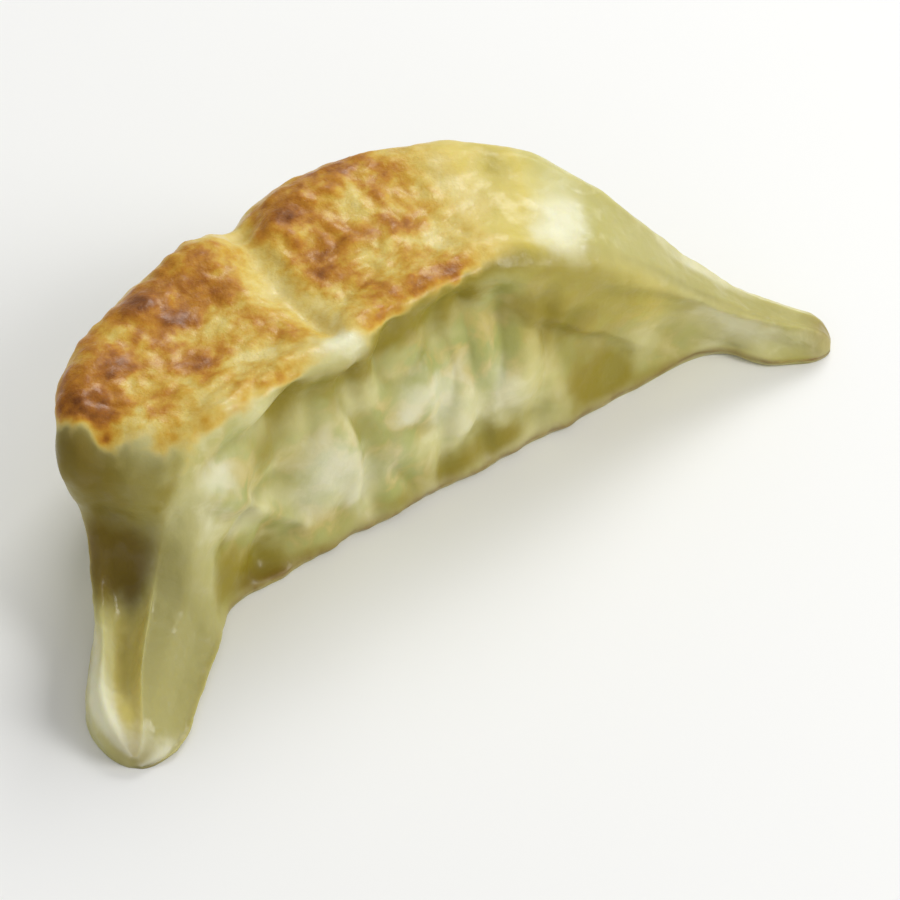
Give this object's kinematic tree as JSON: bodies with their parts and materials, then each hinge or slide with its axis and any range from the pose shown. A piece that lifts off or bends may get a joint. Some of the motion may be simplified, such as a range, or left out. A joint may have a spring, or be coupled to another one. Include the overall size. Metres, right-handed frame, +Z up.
{
  "type": "gyoza dumpling",
  "caption": "Pan-fried gyoza dumpling lying browned face up: crescent wrapper with a flat seared face, soft folded walls and pinched ears at both ends.",
  "frame": {"origin": "centre of the bounding box's footprint, on the plane the dumpling rests on", "axes": "+X from the flat tongue-like left ear to the standing right ear, +Y from the hollow side of the crescent to the belly, +Z up through the browned face"},
  "size_m": [0.0814, 0.0358, 0.0225],
  "materials": {
    "fried_dough": "moist cooked dough, cream and pale green where the filling shows through, browned in patches on the fried face"
  },
  "bodies": {
    "root": {"gyoza": "fried_dough"}
  },
  "joints": []
}
